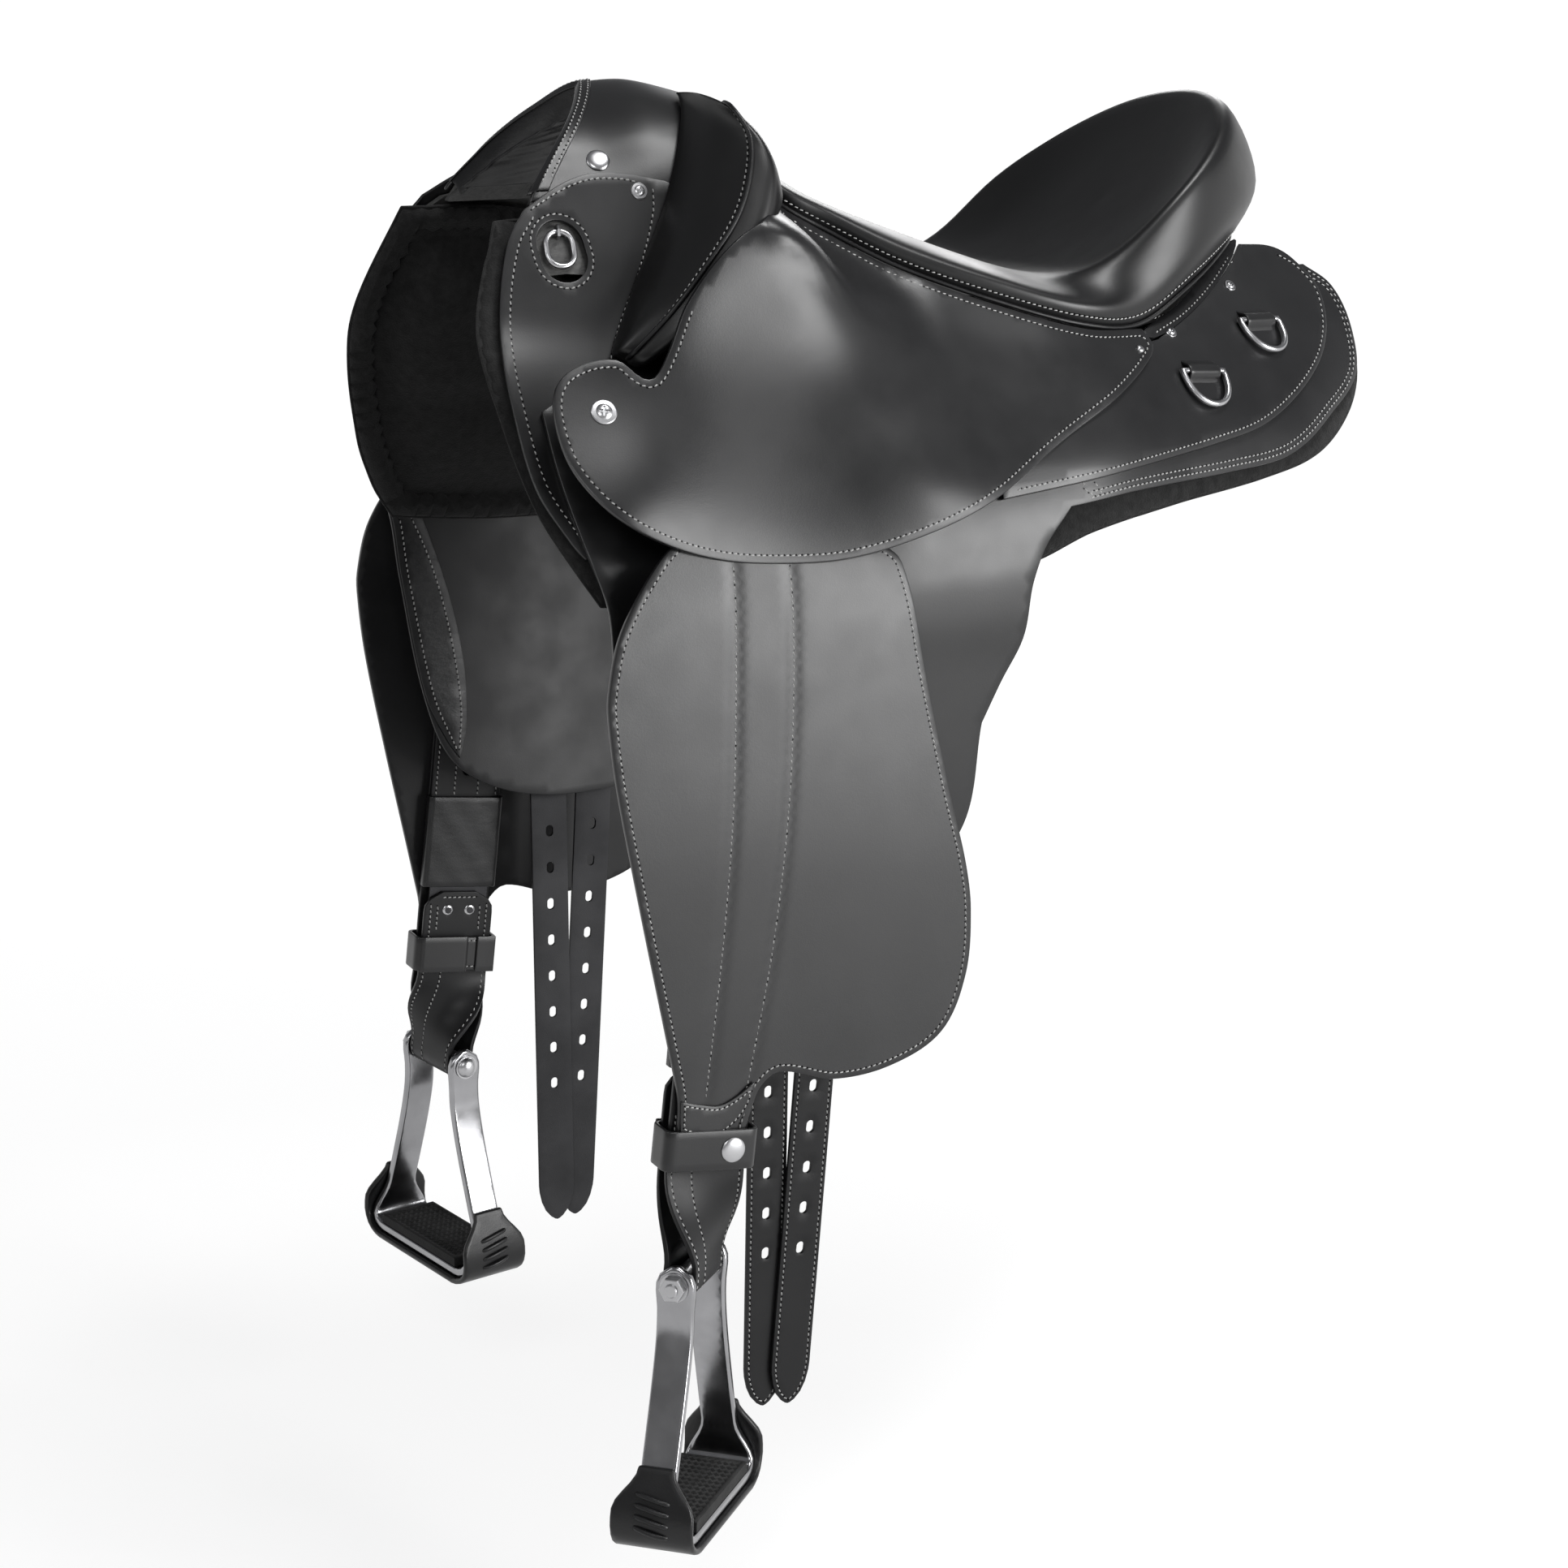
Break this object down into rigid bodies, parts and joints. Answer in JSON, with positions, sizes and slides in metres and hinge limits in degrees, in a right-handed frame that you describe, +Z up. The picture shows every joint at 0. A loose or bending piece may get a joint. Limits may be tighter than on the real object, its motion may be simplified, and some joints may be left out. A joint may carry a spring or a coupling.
{
  "type": "half breed saddle",
  "caption": "Half breed saddle: deep stock saddle seat with knee pads over swinging fenders, with stirrups that pivot, girth points, dee rings and breastplate rings.",
  "frame": {"origin": "point of the saddle's centre plane on the common axis of the two hanger bolts", "axes": "+X from pommel to cantle (towards the horse's tail), +Z up; the near (left) side is -Y"},
  "size_m": [0.6281, 0.5803, 0.8271],
  "materials": {
    "smooth_leather": "smooth black bridle leather, satin",
    "grained_leather": "soft black leather, semi matt",
    "serge": "black wool serge, matt",
    "foam": "dense grey foam, matt",
    "bright_steel": "plated steel, bright",
    "aluminium": "cast aluminium, satin polish",
    "rubber": "black rubber, matt",
    "fibreglass": "moulded fibreglass, matt"
  },
  "bodies": {
    "saddle": {"tree": "fibreglass", "pommel_cover": "smooth_leather", "gullet_plate": "bright_steel", "gullet_lining": "grained_leather", "seat_cover": "smooth_leather", "seat_foam": "foam", "tree_seat": "fibreglass", "panel_left": "serge", "panel_facing_left": "smooth_leather", "sweat_flap_left": "smooth_leather", "rear_skirt_left": "smooth_leather", "jockey_left": "smooth_leather", "knee_pad_left": "grained_leather", "girth_web_left": "smooth_leather", "dee_keeper_front_left": "smooth_leather", "dee_keeper_rear_left": "smooth_leather", "ring_staple_left": "bright_steel", "hanger_bolt_left": "bright_steel", "panel_right": "serge", "panel_facing_right": "smooth_leather", "sweat_flap_right": "smooth_leather", "rear_skirt_right": "smooth_leather", "jockey_right": "smooth_leather", "knee_pad_right": "grained_leather", "girth_web_right": "smooth_leather", "dee_keeper_front_right": "smooth_leather", "dee_keeper_rear_right": "smooth_leather", "ring_staple_right": "bright_steel", "hanger_bolt_right": "bright_steel"},
    "fender_assembly_left": {"fender_left": "smooth_leather", "hanger_left": "bright_steel", "stirrup_leather_left": "smooth_leather", "buckle_left": "bright_steel", "hobble_strap_left": "smooth_leather"},
    "stirrup_left": {"stirrup_frame_left": "aluminium", "tread_cover_left": "grained_leather", "tread_pad_left": "rubber", "stirrup_bolt_left": "bright_steel"},
    "sleeve_left": {"buckle_sleeve_left": "grained_leather"},
    "front_girth_left": {"girth_point_front_left": "smooth_leather"},
    "rear_girth_left": {"girth_point_rear_left": "smooth_leather"},
    "front_dee_left": {"dee_front_left": "bright_steel"},
    "rear_dee_left": {"dee_rear_left": "bright_steel"},
    "ring_left": {"front_ring_left": "bright_steel"},
    "fender_assembly_right": {"fender_right": "smooth_leather", "hanger_right": "bright_steel", "stirrup_leather_right": "smooth_leather", "buckle_right": "bright_steel", "hobble_strap_right": "smooth_leather"},
    "stirrup_right": {"stirrup_frame_right": "aluminium", "tread_cover_right": "grained_leather", "tread_pad_right": "rubber", "stirrup_bolt_right": "bright_steel"},
    "sleeve_right": {"buckle_sleeve_right": "grained_leather"},
    "front_girth_right": {"girth_point_front_right": "smooth_leather"},
    "rear_girth_right": {"girth_point_rear_right": "smooth_leather"},
    "front_dee_right": {"dee_front_right": "bright_steel"},
    "rear_dee_right": {"dee_rear_right": "bright_steel"},
    "ring_right": {"front_ring_right": "bright_steel"}
  },
  "joints": [
    {"name": "fender_swing_left", "type": "hinge", "parent": "saddle", "child": "fender_assembly_left", "pos_m": [0, -0.1315, 0], "axis": [0, 1, 0], "range_deg": [-2, 15]},
    {"name": "stirrup_pivot_left", "type": "hinge", "parent": "fender_assembly_left", "child": "stirrup_left", "pos_m": [-0.06107, -0.2149, -0.53603], "axis": [-0.6776, -0.7314, 0.0772], "range_deg": [-30, 30]},
    {"name": "sleeve_slide_left", "type": "slide", "parent": "fender_assembly_left", "child": "sleeve_left", "axis": [0.1132, 0, 0.9936], "range_m": [0, 0.03]},
    {"name": "front_girth_swing_left", "type": "hinge", "parent": "saddle", "child": "front_girth_left", "pos_m": [0.01, -0.1909, -0.116], "axis": [0, 1, 0], "range_deg": [-7, 2]},
    {"name": "rear_girth_swing_left", "type": "hinge", "parent": "saddle", "child": "rear_girth_left", "pos_m": [0.06, -0.1975, -0.116], "axis": [0, 1, 0], "range_deg": [-7, 3]},
    {"name": "front_dee_fold_left", "type": "hinge", "parent": "saddle", "child": "front_dee_left", "pos_m": [0.3234, -0.13896, -0.03953], "axis": [-0.9844, -0.1644, 0.0633], "range_deg": [0, 110]},
    {"name": "rear_dee_fold_left", "type": "hinge", "parent": "saddle", "child": "rear_dee_left", "pos_m": [0.38892, -0.1019, -0.01386], "axis": [-0.9767, -0.2131, 0.0268], "range_deg": [0, 110]},
    {"name": "front_ring_fold_left", "type": "hinge", "parent": "saddle", "child": "ring_left", "pos_m": [-0.08519, -0.09257, 0.05461], "axis": [-0.9967, 0.0809, -0.0018], "range_deg": [0, 80]},
    {"name": "fender_swing_right", "type": "hinge", "parent": "saddle", "child": "fender_assembly_right", "pos_m": [0, 0.1315, 0], "axis": [0, 1, 0], "range_deg": [-2, 15]},
    {"name": "stirrup_pivot_right", "type": "hinge", "parent": "fender_assembly_right", "child": "stirrup_right", "pos_m": [-0.06107, 0.2149, -0.53603], "axis": [-0.2066, 0.9781, 0.0235], "range_deg": [-15, 30]},
    {"name": "sleeve_slide_right", "type": "slide", "parent": "fender_assembly_right", "child": "sleeve_right", "axis": [0.1132, 0, 0.9936], "range_m": [0, 0.03]},
    {"name": "front_girth_swing_right", "type": "hinge", "parent": "saddle", "child": "front_girth_right", "pos_m": [0.01, 0.1909, -0.116], "axis": [0, 1, 0], "range_deg": [-7, 2]},
    {"name": "rear_girth_swing_right", "type": "hinge", "parent": "saddle", "child": "rear_girth_right", "pos_m": [0.06, 0.1975, -0.116], "axis": [0, 1, 0], "range_deg": [-7, 3]},
    {"name": "front_dee_fold_right", "type": "hinge", "parent": "saddle", "child": "front_dee_right", "pos_m": [0.3234, 0.13896, -0.03953], "axis": [0.9844, -0.1644, -0.0633], "range_deg": [0, 110]},
    {"name": "rear_dee_fold_right", "type": "hinge", "parent": "saddle", "child": "rear_dee_right", "pos_m": [0.38892, 0.1019, -0.01386], "axis": [0.9767, -0.2131, -0.0268], "range_deg": [0, 110]},
    {"name": "front_ring_fold_right", "type": "hinge", "parent": "saddle", "child": "ring_right", "pos_m": [-0.08519, 0.09257, 0.05461], "axis": [0.9967, 0.0809, 0.0018], "range_deg": [0, 80]}
  ]
}
